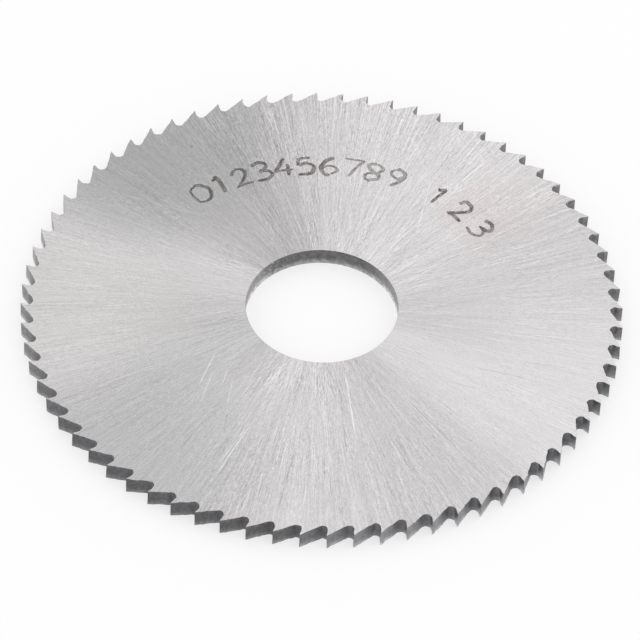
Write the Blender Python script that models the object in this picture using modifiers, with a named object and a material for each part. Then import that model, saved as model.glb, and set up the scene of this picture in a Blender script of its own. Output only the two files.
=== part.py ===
"""Circular saw blade: a metal slitting saw ground from one piece of tool steel.

The blank is turned from its section, with a round bore, flat seats for the arbor's
washers and shallow hollow-ground sides. The rim is then cut to the outline of the teeth.
Metres, +Z up. The origin is the centre of the bore, on the lower face.
"""
import math

import bmesh
import bpy
from mathutils import Matrix, Vector

# Driving sizes
OUTER_DIAMETER = 0.063
BORE_DIAMETER = 0.016
THICKNESS = 0.002
TOOTH_COUNT = 72
RAKE_ANGLE = math.radians(10.0)
BACK_ANGLE = math.radians(33.0)
GULLET_RADIUS = 0.0005
SEAT_WIDTH = 0.006
RIM_BAND_WIDTH = 0.0013
HOLLOW_DEPTH = 0.00004

# Steps that the round shapes are cut into
TURN_STEPS = 144
HOLLOW_STEPS = 4
GULLET_STEPS = 6

# How far the blank runs past the tips, and the outline past both faces, before the cut
CUT_MARGIN = 0.001

# Merge distance for a seam that closes on itself
WELD_DISTANCE = 0.000001

STEEL_COLOUR = (0.60, 0.59, 0.60, 1.0)
STEEL_ROUGHNESS = 0.35
SMOOTH_ANGLE = math.radians(30.0)

OUTER_RADIUS = OUTER_DIAMETER / 2
BORE_RADIUS = BORE_DIAMETER / 2
TOOTH_PITCH = 2 * math.pi / TOOTH_COUNT


def clear_scene():
    """Removes every object that the file opened with."""
    for obj in list(bpy.data.objects):
        bpy.data.objects.remove(obj, do_unlink=True)


def new_collection(name):
    """Returns a new collection in the scene."""
    collection = bpy.data.collections.new(name)
    bpy.context.scene.collection.children.link(collection)
    return collection


def steel_material():
    """Returns the ground tool steel of the blade."""
    material = bpy.data.materials.new("ground_tool_steel")
    material.use_nodes = True
    shader = material.node_tree.nodes["Principled BSDF"]
    shader.inputs["Base Color"].default_value = STEEL_COLOUR
    shader.inputs["Roughness"].default_value = STEEL_ROUGHNESS
    shader.inputs["Metallic"].default_value = 1.0
    return material


def gullet_points():
    """Returns the gullet in front of a tooth, from the last tooth's back to the cutting face.

    The points are in the tooth's own frame: its tip is the origin, x runs along the rim
    towards the tooth's back, and y runs outwards. The back of the tooth before ends in
    this gullet, one pitch away.
    """
    tip = Vector((0.0, 0.0))
    tip_before = Vector((-OUTER_RADIUS * math.sin(TOOTH_PITCH),
                         OUTER_RADIUS * (math.cos(TOOTH_PITCH) - 1)))
    back_slope = BACK_ANGLE - TOOTH_PITCH
    face_normal = Vector((-math.cos(RAKE_ANGLE), -math.sin(RAKE_ANGLE)))
    back_normal = Vector((math.sin(back_slope), math.cos(back_slope)))

    # The centre of the fillet lies one radius clear of the face and of the back
    lines = Matrix((face_normal, back_normal))
    offsets = Vector((GULLET_RADIUS + face_normal.dot(tip),
                      GULLET_RADIUS + back_normal.dot(tip_before)))
    centre = lines.inverted() @ offsets

    start_angle = math.atan2(-back_normal.y, -back_normal.x)
    end_angle = math.atan2(-face_normal.y, -face_normal.x)
    points = []
    for step in range(GULLET_STEPS + 1):
        angle = start_angle + (end_angle - start_angle) * step / GULLET_STEPS
        spoke = Vector((math.cos(angle), math.sin(angle)))
        points.append(centre + GULLET_RADIUS * spoke)
    return points


def tooth_outline():
    """Returns the blade's outline, counter-clockwise: each gullet, then the tip after it."""
    tooth = gullet_points() + [Vector((0.0, 0.0))]
    outline = []
    for index in range(TOOTH_COUNT):
        turn = index * TOOTH_PITCH
        outward = Vector((math.cos(turn), math.sin(turn)))
        along = Vector((-math.sin(turn), math.cos(turn)))
        for point in tooth:
            outline.append((OUTER_RADIUS + point.y) * outward + point.x * along)
    return outline


def root_radius():
    """Returns the radius at the bottom of the gullets."""
    return min(Vector((point.x, OUTER_RADIUS + point.y)).length for point in gullet_points())


def hollow_points():
    """Returns radius and depth along one hollow-ground side, from the rim to the seat."""
    rim = root_radius() - RIM_BAND_WIDTH
    seat = BORE_RADIUS + SEAT_WIDTH
    points = []
    for step in range(HOLLOW_STEPS + 1):
        share = step / HOLLOW_STEPS
        radius = rim + (seat - rim) * share
        depth = 4 * HOLLOW_DEPTH * share * (1 - share)
        points.append((radius, depth))
    return points


def blank_section():
    """Returns the blank's section as radius and height, down its outer side first."""
    blank_radius = OUTER_RADIUS + CUT_MARGIN
    hollow = hollow_points()
    section = [(blank_radius, THICKNESS), (blank_radius, 0.0)]
    section += [(radius, depth) for radius, depth in hollow]
    section += [(BORE_RADIUS, 0.0), (BORE_RADIUS, THICKNESS)]
    section += [(radius, THICKNESS - depth) for radius, depth in reversed(hollow)]
    return section


def turned_blank(collection):
    """Returns the blank, turned from its section about the bore."""
    section = blank_section()
    mesh = bpy.data.meshes.new("blank_section")
    vertices = [(radius, 0.0, height) for radius, height in section]
    edges = [(index, (index + 1) % len(section)) for index in range(len(section))]
    mesh.from_pydata(vertices, edges, [])
    blank = bpy.data.objects.new("blank", mesh)
    collection.objects.link(blank)

    screw = blank.modifiers.new("Turn", "SCREW")
    screw.axis = "Z"
    screw.angle = 2 * math.pi
    screw.steps = TURN_STEPS
    screw.render_steps = TURN_STEPS
    screw.use_merge_vertices = True
    screw.merge_threshold = WELD_DISTANCE
    return blank


def toothed_outline_cutter(collection):
    """Returns a closed prism with the outline of the teeth, longer than the blank is thick."""
    curve = bpy.data.curves.new("tooth_outline", "CURVE")
    curve.dimensions = "2D"
    curve.fill_mode = "BOTH"
    curve.extrude = THICKNESS / 2 + CUT_MARGIN
    outline = tooth_outline()
    spline = curve.splines.new("POLY")
    spline.points.add(len(outline) - 1)
    for spline_point, point in zip(spline.points, outline):
        spline_point.co = (point.x, point.y, 0.0, 1.0)
    spline.use_cyclic_u = True
    outline_object = bpy.data.objects.new("tooth_outline", curve)
    outline_object.location.z = THICKNESS / 2
    collection.objects.link(outline_object)

    bpy.context.view_layer.update()
    depsgraph = bpy.context.evaluated_depsgraph_get()
    mesh = bpy.data.meshes.new_from_object(outline_object.evaluated_get(depsgraph))
    cutter = bpy.data.objects.new("tooth_cutter", mesh)
    cutter.matrix_world = outline_object.matrix_world
    collection.objects.link(cutter)
    bpy.data.objects.remove(outline_object, do_unlink=True)
    weld_caps(mesh)

    cutter.hide_render = True
    cutter.display_type = "WIRE"
    return cutter


def weld_caps(mesh):
    """Joins the loose caps of a filled curve to its sides."""
    cage = bmesh.new()
    cage.from_mesh(mesh)
    bmesh.ops.remove_doubles(cage, verts=cage.verts, dist=WELD_DISTANCE)
    bmesh.ops.recalc_face_normals(cage, faces=cage.faces)
    cage.to_mesh(mesh)
    cage.free()


def toothed_blade(blank, cutter, collection):
    """Returns the finished blade: what the blank and the outline of the teeth share."""
    cut = blank.modifiers.new("Teeth", "BOOLEAN")
    cut.operation = "INTERSECT"
    cut.solver = "EXACT"
    cut.object = cutter

    bpy.context.view_layer.update()
    depsgraph = bpy.context.evaluated_depsgraph_get()
    mesh = bpy.data.meshes.new_from_object(blank.evaluated_get(depsgraph))
    mesh.name = "saw_blade"
    mesh.materials.clear()
    mesh.materials.append(steel_material())
    mesh.shade_smooth()
    mesh.set_sharp_from_angle(angle=SMOOTH_ANGLE)
    blade = bpy.data.objects.new("saw_blade", mesh)
    collection.objects.link(blade)
    bpy.data.objects.remove(blank, do_unlink=True)
    return blade


def main():
    clear_scene()
    parts = new_collection("circular_saw_blade")
    cutters = new_collection("cutters")
    blank = turned_blank(parts)
    cutter = toothed_outline_cutter(cutters)
    toothed_blade(blank, cutter, parts)


main()
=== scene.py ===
"""Looks of a metal slitting saw: its ground faces, milled teeth and etched numbers.

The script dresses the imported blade. Everything is in metres, in the blade's own frame:
+Z is up, and the origin is the centre of the bore, on the face that the blade lies on.
"""
import math
import random

import bmesh
import bpy
from bpy.props import (FloatProperty, FloatVectorProperty, IntProperty, PointerProperty,
                       StringProperty)
from bpy.types import Operator, Panel, PropertyGroup
from mathutils import Matrix, Vector


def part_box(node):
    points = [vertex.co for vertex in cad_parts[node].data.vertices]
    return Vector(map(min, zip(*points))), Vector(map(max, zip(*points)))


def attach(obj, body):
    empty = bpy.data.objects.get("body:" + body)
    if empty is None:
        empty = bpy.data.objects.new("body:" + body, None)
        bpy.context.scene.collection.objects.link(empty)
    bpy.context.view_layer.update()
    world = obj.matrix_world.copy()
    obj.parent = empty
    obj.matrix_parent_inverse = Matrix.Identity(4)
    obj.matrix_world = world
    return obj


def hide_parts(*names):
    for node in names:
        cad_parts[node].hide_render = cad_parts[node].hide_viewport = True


bl_info = {
    "name": "Slitting Saw Blade",
    "version": (1, 0, 0),
    "blender": (4, 5, 0),
    "location": "3D View > Sidebar > Saw Blade",
    "description": "Builds the visible surface of a metal slitting saw and its studio",
    "category": "Object",
}

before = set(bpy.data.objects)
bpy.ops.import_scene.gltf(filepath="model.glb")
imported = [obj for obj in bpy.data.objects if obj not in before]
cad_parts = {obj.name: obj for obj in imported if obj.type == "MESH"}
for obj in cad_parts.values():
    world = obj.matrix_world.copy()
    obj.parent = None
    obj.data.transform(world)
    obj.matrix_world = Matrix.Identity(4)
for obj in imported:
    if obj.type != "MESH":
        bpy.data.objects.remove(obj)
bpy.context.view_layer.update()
BLADE_LOW, BLADE_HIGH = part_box("saw_blade")

BODY_NAME = "toothed_body"
FINISH = "finish"
TIP = "tip"
RIM = "rim"
STROKE_UV = "stroke"
FACE_SLOT, TOOTH_SLOT, BORE_SLOT, ETCH_SLOT = range(4)
SHARP_ANGLE = math.radians(30.0)
WELD_DISTANCE = 0.000001


# Sizes and colours

def length_property(name, description, default, least=0.0):
    """Returns a property that holds a length in metres."""
    return FloatProperty(name=name, description=description, default=default, min=least,
                         unit="LENGTH", precision=6)


def angle_property(name, description, degrees):
    """Returns a property that holds an angle, whose default is given in degrees."""
    return FloatProperty(name=name, description=description, default=math.radians(degrees),
                         unit="ROTATION")


def share_property(name, description, default):
    """Returns a property that holds a share from 0 to 1."""
    return FloatProperty(name=name, description=description, default=default, min=0.0, max=1.0)


def colour_property(name, description, default):
    """Returns a property that holds a colour."""
    return FloatVectorProperty(name=name, description=description, default=default, size=3,
                               subtype="COLOR", min=0.0, max=1.0)


class BladeSizes(PropertyGroup):
    """Sizes of the blade, as it is milled and ground."""

    outer_diameter: length_property(
        "Outer Diameter", "Diameter over the tooth tips",
        round(BLADE_HIGH[0] - BLADE_LOW[0], 6), 0.01)
    thickness: length_property(
        "Thickness", "Thickness at the rim and at the seats",
        round(BLADE_HIGH[2] - BLADE_LOW[2], 6), 0.0002)
    bore_diameter: length_property(
        "Bore Diameter", "Diameter of the hole for the arbor", 0.016, 0.002)
    tooth_count: IntProperty(
        name="Teeth", description="Number of teeth round the rim", default=72, min=8)
    rake_angle: angle_property("Rake Angle", "Lean of the cutting face from the radius", 10.0)
    back_angle: angle_property(
        "Back Angle", "Fall of a tooth's back below the tangent at its tip", 33.0)
    gullet_radius: length_property(
        "Gullet Radius", "Fillet at the bottom of a gullet", 0.0005, 0.0001)
    seat_width: length_property(
        "Seat Width", "Width of the flat ring that the washers clamp", 0.006, 0.001)
    rim_band_width: length_property(
        "Rim Band Width", "Width of the flat band under the gullets", 0.0013, 0.0001)
    hollow_depth: length_property(
        "Hollow Depth", "Depth of the hollow-ground sides", 0.00004)
    edge_break: length_property(
        "Edge Break", "Size of the fine break on every edge", 0.00002, 0.000002)
    tip_wear: length_property(
        "Tip Wear", "How far the most worn tooth tip has drawn in", 0.00003)
    rim_wander: length_property(
        "Rim Wander", "Most that the milled edges stray from their true line", 0.00028)
    seed: IntProperty(name="Seed", description="Seed of the wear on the tips", default=4)


class NumberSizes(PropertyGroup):
    """Size and place of the etched numbers."""

    long_group: StringProperty(
        name="Long Group", description="Digits of the long group", default="0123456789")
    long_group_start: angle_property(
        "Long Group Start", "Direction of its first digit from the bore", 133.0)
    long_group_step: angle_property(
        "Long Group Step", "Turn from one of its digits to the next", -6.84)
    short_group: StringProperty(
        name="Short Group", description="Digits of the short group", default="123")
    short_group_start: angle_property(
        "Short Group Start", "Direction of its first digit from the bore", 56.8)
    short_group_step: angle_property(
        "Short Group Step", "Turn from one of its digits to the next", -9.0)
    circle_radius: length_property(
        "Circle Radius", "Distance of the digits' middles from the bore's centre", 0.0205, 0.001)
    digit_height: length_property("Height", "Height of a digit", 0.0026, 0.0002)
    digit_width: length_property("Width", "Width of a digit", 0.0021, 0.0002)
    stroke_width: length_property(
        "Stroke Width", "Width of the groove that the etching leaves", 0.00056, 0.00005)
    stroke_depth: length_property("Stroke Depth", "Depth of the groove", 0.00003, 0.000002)
    hand_wander: length_property(
        "Hand Wander", "How far the hand strays from a digit's true form", 0.00005)
    second_pass: share_property(
        "Second Pass", "Share of the strokes that the hand goes over twice", 0.4)
    seed: IntProperty(name="Seed", description="Seed of the hand's wander", default=11)


class SteelColours(PropertyGroup):
    """Colours of the steel."""

    ground_face: colour_property(
        "Ground Face", "Steel of the ground faces", (0.630, 0.612, 0.619))
    # Plain grey that is painted into the darker fans of painted sheen
    plain_face: colour_property(
        "Plain Face", "Steel of the ground faces where it looks plain grey", (0.617, 0.617, 0.617))
    oil_film: colour_property(
        "Oil Film", "Faint yellow that a film of oil leaves at one side", (0.628, 0.613, 0.606))
    stain: colour_property("Stain", "Faint rust-brown bloom on the face", (0.58, 0.46, 0.41))
    milled_tooth: colour_property(
        "Milled Tooth", "Dark steel of the tooth backs and cutting faces", (0.17, 0.17, 0.174))
    gullet: colour_property(
        "Gullet", "Darker steel at the bottom of the gullets", (0.116, 0.115, 0.124))
    bore_wall: colour_property("Bore Wall", "Dark steel inside the bore", (0.185, 0.185, 0.187))
    bore_pits: colour_property("Bore Pits", "Light pits of the bore's wall", (0.52, 0.52, 0.52))
    warm_edge: colour_property(
        "Warm Edge", "Brownish tint along the lower edge of the walls", (0.30, 0.26, 0.23))
    etched_line: colour_property(
        "Etched Line", "Darkened steel of the numbers", (0.15, 0.136, 0.132))


class StudioSettings(PropertyGroup):
    """Camera and floor of the studio."""

    camera_azimuth: angle_property(
        "Camera Azimuth", "Direction of the camera, seen from above", -87.687)
    camera_elevation: angle_property(
        "Camera Elevation", "Height of the camera above the blade's plane", 47.417)
    camera_distance: length_property(
        "Camera Distance", "Distance from the camera to what it looks at", 0.56005, 0.05)
    camera_roll: angle_property(
        "Camera Roll", "Turn of the camera about its own line of sight", 2.502)
    camera_target: FloatVectorProperty(
        name="Camera Target", description="Point that the camera looks at",
        default=(-0.000064, -0.002056, 0.002), size=3, subtype="TRANSLATION", precision=5)
    focal_length: FloatProperty(
        name="Focal Length", description="Focal length in millimetres on a 36 mm sensor",
        default=302.0, min=20.0)
    floor_size: length_property("Floor Size", "Side of the floor", 6.0, 0.5)
    floor_gap: length_property("Floor Gap", "Depth of the floor below the lower face", 0.00002)
    floor_colour: colour_property("Floor", "Colour of the floor", (0.40, 0.40, 0.40))
    floor_glow: share_property(
        "Floor Glow", "White that the floor shows without any light on it", 0.62)


# Node trees

# Span in which nearly all the values of noise lie
NOISE_LOW, NOISE_HIGH = 0.3, 0.7


class NodeBuilder:
    """Adds nodes to a shader tree and links them as it goes."""

    def __init__(self, tree):
        self.tree = tree

    def add(self, kind, **settings):
        """Returns a new node with these properties."""
        node = self.tree.nodes.new(kind)
        for name, value in settings.items():
            setattr(node, name, value)
        return node

    def feed(self, socket, source):
        """Links a socket to its source, or sets it where the source is a plain value."""
        if isinstance(source, bpy.types.NodeSocket):
            self.tree.links.new(source, socket)
        else:
            socket.default_value = source

    def step(self, kind, sources, **settings):
        """Adds a node, feeds its inputs by name or place, and returns its first output."""
        node = self.add(kind, **settings)
        for name, source in sources.items():
            self.feed(node.inputs[name], source)
        return node.outputs[0]

    def maths(self, operation, *sources, clamp=False):
        """Returns the outcome of one arithmetic step."""
        return self.step("ShaderNodeMath", dict(enumerate(sources)), operation=operation,
                         use_clamp=clamp)

    def times(self, first, second):
        """Returns the product of two values."""
        return self.maths("MULTIPLY", first, second)

    def times_plus(self, first, second, third):
        """Returns the product of two values, plus a third."""
        return self.maths("MULTIPLY_ADD", first, second, third)

    def minus(self, first, second):
        """Returns the difference of two values."""
        return self.maths("SUBTRACT", first, second)

    def remap(self, value, low, high, out_low=0.0, out_high=1.0):
        """Maps a value smoothly from one range to another, held at both ends."""
        sources = {"Value": value, "From Min": low, "From Max": high,
                   "To Min": out_low, "To Max": out_high}
        return self.step("ShaderNodeMapRange", sources, interpolation_type="SMOOTHSTEP")

    def spread(self, noise, least, most):
        """Maps noise to a range, from the span in which nearly all of it lies."""
        return self.remap(noise, NOISE_LOW, NOISE_HIGH, least, most)

    def mix(self, factor, first, second):
        """Returns a colour between two others."""
        node = self.add("ShaderNodeMix", data_type="RGBA")
        sockets = {socket.identifier: socket for socket in node.inputs}
        self.feed(sockets["Factor_Float"], factor)
        self.feed(sockets["A_Color"], first)
        self.feed(sockets["B_Color"], second)
        return {socket.identifier: socket for socket in node.outputs}["Result_Color"]

    def brighten(self, colour, factor):
        """Returns a colour times a factor."""
        return self.step("ShaderNodeVectorMath", {0: colour, "Scale": factor}, operation="SCALE")

    def noise(self, vector, scale, detail=2.0, roughness=0.5, output="Fac"):
        """Returns fractal noise from 0 to 1, as a number or as a colour."""
        sources = {"Vector": vector, "Scale": scale, "Detail": detail, "Roughness": roughness}
        return self.step("ShaderNodeTexNoise", sources).node.outputs[output]

    def split(self, vector):
        """Returns the three coordinates of a vector."""
        outputs = self.step("ShaderNodeSeparateXYZ", {0: vector}).node.outputs
        return outputs["X"], outputs["Y"], outputs["Z"]

    def join(self, x, y, z):
        """Returns a vector from its coordinates."""
        return self.step("ShaderNodeCombineXYZ", {0: x, 1: y, 2: z})

    def relief(self, shader, height, strength, distance):
        """Gives a shader the relief of a height, with its strength and its depth in metres."""
        sources = {"Strength": strength, "Distance": distance, "Height": height}
        self.feed(shader.inputs["Normal"], self.step("ShaderNodeBump", sources))

    def group(self, tree, **sources):
        """Returns a group node, its inputs fed by name."""
        node = self.add("ShaderNodeGroup", node_tree=tree)
        for name, source in sources.items():
            self.feed(node.inputs[name.replace("_", " ").title()], source)
        return node


def new_group(name, inputs, outputs):
    """Returns an empty shader group with named sockets, its builder, input and output nodes."""
    tree = bpy.data.node_groups.new(name, "ShaderNodeTree")
    for socket_name, kind in inputs:
        tree.interface.new_socket(socket_name, in_out="INPUT", socket_type=kind)
    for socket_name, kind in outputs:
        tree.interface.new_socket(socket_name, in_out="OUTPUT", socket_type=kind)
    build = NodeBuilder(tree)
    return tree, build, build.add("NodeGroupInput"), build.add("NodeGroupOutput")


def new_material(name):
    """Returns a new material, its builder, its Principled shader and the Object coordinates."""
    material = bpy.data.materials.new(name)
    material.use_nodes = True
    build = NodeBuilder(material.node_tree)
    shader = material.node_tree.nodes["Principled BSDF"]
    coordinates = build.add("ShaderNodeTexCoord").outputs["Object"]
    return material, build, shader, coordinates


def polar_group():
    """Direction and distance of a place from the bore's centre."""
    tree, build, given, result = new_group(
        "about_the_bore", (("Place", "NodeSocketVector"),),
        (("East", "NodeSocketFloat"), ("North", "NodeSocketFloat"), ("Radius", "NodeSocketFloat")))
    x, y, _ = build.split(given.outputs["Place"])
    squares = build.maths("ADD", build.times(x, x), build.times(y, y))
    radius = build.maths("MAXIMUM", build.maths("SQRT", squares), 0.0001)
    build.feed(result.inputs["East"], build.maths("DIVIDE", x, radius))
    build.feed(result.inputs["North"], build.maths("DIVIDE", y, radius))
    build.feed(result.inputs["Radius"], radius)
    return tree


def fan(build, about, direction, half_width):
    """Returns how deep a place lies in a fan round the bore, from 0 at its edges to 1.

    The direction and the half width are in degrees.
    """
    angle = math.radians(direction)
    north = build.times(about.outputs["North"], math.sin(angle))
    facing = build.times_plus(about.outputs["East"], math.cos(angle), north)
    return build.remap(facing, math.cos(math.radians(half_width)), 1.0)


# Where the fine pattern changes over from the hub's to the rim's, and so keeps its scale
HUB_REACH = 0.011
RIM_REACH = 0.021


def lines_group(polar):
    """Fine straight grinding lines that all touch one small circle round the bore.

    With an offset of nothing the lines are radial. The pattern closes on itself all the
    way round, because it reads the direction of each line and not its angle. Density is
    lines for each radian, near the hub and near the rim. Breaks is how often a line ends.
    """
    tree, build, given, result = new_group(
        "grinding_lines",
        (("Place", "NodeSocketVector"), ("Offset", "NodeSocketFloat"),
         ("Hub Density", "NodeSocketFloat"), ("Rim Density", "NodeSocketFloat"),
         ("Breaks", "NodeSocketFloat"), ("Seed", "NodeSocketFloat")),
        (("Lines", "NodeSocketFloat"),))
    about = build.group(polar, place=given.outputs["Place"])
    east, north, radius = (about.outputs[name] for name in ("East", "North", "Radius"))
    sine = build.maths("DIVIDE", given.outputs["Offset"], radius)
    cosine = build.maths("SQRT", build.minus(1.0, build.times(sine, sine)))
    line_east = build.minus(build.times(east, cosine), build.times(north, sine))
    line_north = build.maths("ADD", build.times(east, sine), build.times(north, cosine))
    along = build.times_plus(radius, given.outputs["Breaks"], given.outputs["Seed"])
    layers = []
    for name in ("Hub Density", "Rim Density"):
        density = given.outputs[name]
        place = build.join(build.times(line_east, density),
                           build.times(line_north, density), along)
        layers.append(build.noise(place, 1.0, detail=1.0, roughness=1.0))
    share = build.remap(radius, HUB_REACH, RIM_REACH)
    difference = build.minus(layers[1], layers[0])
    lines = build.times_plus(difference, share, layers[0])
    build.feed(result.inputs["Lines"], build.minus(lines, 0.5))
    return tree


# Painted sheen: fans of the ground face painted darker or lighter where the lamps' gloss
# would fall on the grain: direction and half width in degrees, and how much lighter they
# are at the hub and at the rim
PAINTED_SHEEN_FANS = (
    (124.0, 32.0, -0.21, 0.0),
    (131.0, 37.0, 0.0, -0.33),
    (212.0, 44.0, -0.17, -0.04),
    (234.0, 35.0, 0.0, -0.21),
    (2.0, 20.0, -0.07, 0.02),
    (22.0, 20.0, -0.02, -0.07),
    (66.0, 32.0, 0.05, 0.08),
    (300.0, 20.0, -0.05, -0.05),
    (328.0, 18.0, 0.08, 0.03),
    (338.0, 24.0, 0.0, 0.07),
)

# Fans where the darker painted sheen is painted plain grey, without the steel's warm tint:
# how plain they are at the hub and at the rim
SHADE_GREY_FANS = (
    (135.0, 30.0, -0.6, 1.4),
    (213.0, 20.0, 1.4, 0.2),
    (234.0, 22.0, 0.0, 1.4),
)

# How strongly the grain shows in the plain parts of the face, and the fans where it is
# painted stronger or fainter, as the lamps would catch it; the same share sets the grain's
# relief and roughness: direction and half width in degrees, and how much more at the hub and rim
QUIET_GRAIN = 0.50
GRAIN_SHEEN_FANS = (
    (74.0, 62.0, 0.50, 0.50),
    (272.0, 44.0, 0.50, 0.0),
    (275.0, 34.0, 0.0, 0.28),
    (312.0, 14.0, 0.04, 0.14),
    (340.0, 28.0, -0.12, -0.13),
    (148.0, 14.0, 0.12, 0.0),
    (135.0, 14.0, 0.0, -0.12),
    (232.0, 20.0, 0.0, -0.13),
)

# Families of grinding lines: offset from the bore's axis, density near the hub and near
# the rim, breaks, seed, and weight near the hub and near the rim
LINE_FAMILIES = (
    (0.0003, 50.0, 115.0, 60.0, 3.0, 0.7, 0.6),
    (-0.0019, 45.0, 105.0, 85.0, 31.0, 0.6, 0.42),
    (0.0032, 45.0, 90.0, 70.0, 17.0, 0.7, 0.4),
    (0.0002, 6.0, 14.0, 35.0, 47.0, 0.3, 0.18),
    (0.0014, 14.0, 32.0, 45.0, 83.0, 0.4, 0.25),
    (0.0008, 112.0, 230.0, 150.0, 29.0, 1.8, 1.6),
    (-0.0009, 108.0, 220.0, 1500.0, 71.0, 2.1, 1.9),
)
LINE_STRENGTH = 0.40

# Radii between which the face goes over from its look at the hub to its look at the rim
TONE_REACH = (0.010, 0.026)

# Patches in which all the lines show less or more: their form, which is like the first
# five numbers of a family, and the least and the most share of the lines that they leave
PATCHES = (0.001, 5.0, 9.0, 120.0, 61.0)
PATCH_GAIN = (0.75, 1.3)

# Fine specks: their changes to the metre, and their strength with the grain and without it
SPECK_SCALE = 8000.0
GRAIN_SPECKS, EVEN_SPECKS = 0.28, 0.30

# The oil film: direction and half width of its fan, and the radii over which it sets in
OIL_FAN = (184.0, 24.0)
OIL_REACH = (0.010, 0.016)

# The stain: its fan, the radii over which it sets in and over which it fades, the share
# left past them, the form of its streaks, and its strength between them and in them
STAIN_FAN = (43.0, 15.0)
STAIN_START, STAIN_END = (0.0172, 0.0196), (0.0225, 0.0280)
STAIN_LEFT = 0.2
STAIN_STREAKS = (0.0, 20.0, 40.0, 60.0, 91.0)
STAIN_STRENGTH = (0.08, 0.32)

# Roughness of the face where its lines are dark, and where they are light
FACE_ROUGHNESS = (0.38, 0.32)

# Share of a scratch's half length, from its middle, over which it shows in full
FULL_SHARE = 0.4

# Single scratches that stand out: direction in degrees and radius of each end, half
# width, and how much lighter the scratch is
SCRATCHES = (
    ((215.0, 0.0127), (227.0, 0.0176), 0.00010, 0.32),
    ((222.5, 0.0141), (233.0, 0.0193), 0.00009, 0.20),
    ((226.8, 0.0132), (232.5, 0.0156), 0.00009, 0.22),
    ((232.5, 0.0138), (239.5, 0.0172), 0.00009, 0.22),
    ((241.0, 0.0175), (245.0, 0.0208), 0.00009, -0.20),
    ((188.5, 0.0091), (193.5, 0.0151), 0.00018, 0.12),
    ((232.7, 0.0198), (230.6, 0.0280), 0.00010, 0.11),
    ((237.9, 0.0220), (238.5, 0.0250), 0.00009, -0.14),
    ((250.7, 0.0170), (249.5, 0.0278), 0.00012, 0.34),
    ((249.9, 0.0180), (248.7, 0.0250), 0.00009, 0.24),
    ((250.6, 0.0228), (250.2, 0.0272), 0.00010, -0.18),
    ((257.0, 0.0183), (254.0, 0.0250), 0.00012, -0.12),
    ((266.5, 0.0190), (265.1, 0.0290), 0.00011, -0.24),
    ((268.9, 0.0198), (268.5, 0.0240), 0.00009, -0.18),
    ((270.6, 0.0243), (270.0, 0.0290), 0.00011, 0.17),
    ((274.7, 0.0205), (274.8, 0.0238), 0.00009, -0.20),
    ((276.7, 0.0084), (275.8, 0.0135), 0.00009, 0.22),
    ((289.5, 0.0086), (284.6, 0.0198), 0.00013, 0.34),
    ((282.7, 0.0126), (281.0, 0.0220), 0.00011, -0.20),
    ((285.4, 0.0208), (286.8, 0.0276), 0.00014, 0.14),
    ((293.0, 0.0228), (292.4, 0.0285), 0.00012, 0.18),
    ((299.5, 0.0100), (303.3, 0.0198), 0.00009, 0.16),
    ((308.0, 0.0140), (309.7, 0.0245), 0.00009, -0.18),
    ((307.4, 0.0145), (309.2, 0.0240), 0.00008, 0.12),
    ((310.1, 0.0226), (309.7, 0.0260), 0.00012, 0.17),
    ((325.6, 0.0162), (329.2, 0.0198), 0.00009, -0.14),
    ((330.9, 0.0243), (330.1, 0.0285), 0.00009, -0.12),
    ((336.2, 0.0172), (339.9, 0.0238), 0.00010, -0.18),
    ((345.1, 0.0224), (346.4, 0.0264), 0.00009, -0.14),
    ((33.0, 0.0141), (32.0, 0.0200), 0.00014, 0.13),
    ((49.5, 0.0140), (62.8, 0.0228), 0.00010, 0.22),
    ((56.5, 0.0222), (58.3, 0.0272), 0.00010, -0.20),
    ((55.6, 0.0232), (54.7, 0.0290), 0.00012, 0.22),
    ((5.0, 0.0185), (7.8, 0.0285), 0.00009, 0.12),
    ((102.5, 0.0223), (100.5, 0.0288), 0.00008, -0.24),
    ((103.5, 0.0254), (104.0, 0.0178), 0.00010, 0.18),
    ((104.5, 0.0091), (108.0, 0.0176), 0.00015, 0.13),
    ((139.0, 0.0178), (149.0, 0.0280), 0.00010, 0.13),
    ((139.5, 0.0176), (143.2, 0.0235), 0.00018, 0.09),
    ((150.0, 0.0091), (156.5, 0.0116), 0.00018, 0.10),
    ((125.5, 0.0267), (125.7, 0.0270), 0.00012, -0.45),
)


def polar_place(direction, radius):
    """Returns a place in the blade's plane from its direction in degrees and its radius."""
    angle = math.radians(direction)
    return Vector((radius * math.cos(angle), radius * math.sin(angle), 0.0))


def scratch(build, place, start, end, half_width):
    """Returns how deep a place lies in a straight scratch, which fades out at its ends."""
    along = (end - start).normalized()
    aside = Vector((-along.y, along.x, 0.0))
    middle = (start + end) / 2
    half_length = (end - start).length / 2

    def reach(axis, size, inner):
        """Returns 1 up to an inner share of the scratch's size along an axis, and 0 past it."""
        product = build.step("ShaderNodeVectorMath", {0: place, 1: tuple(axis / size)},
                             operation="DOT_PRODUCT").node.outputs["Value"]
        distance = build.minus(product, axis.dot(middle) / size)
        return build.remap(build.maths("ABSOLUTE", distance), inner, 1.0, 1.0, 0.0)

    return build.times(reach(aside, half_width, 0.0), reach(along, half_length, FULL_SHARE))


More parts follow.
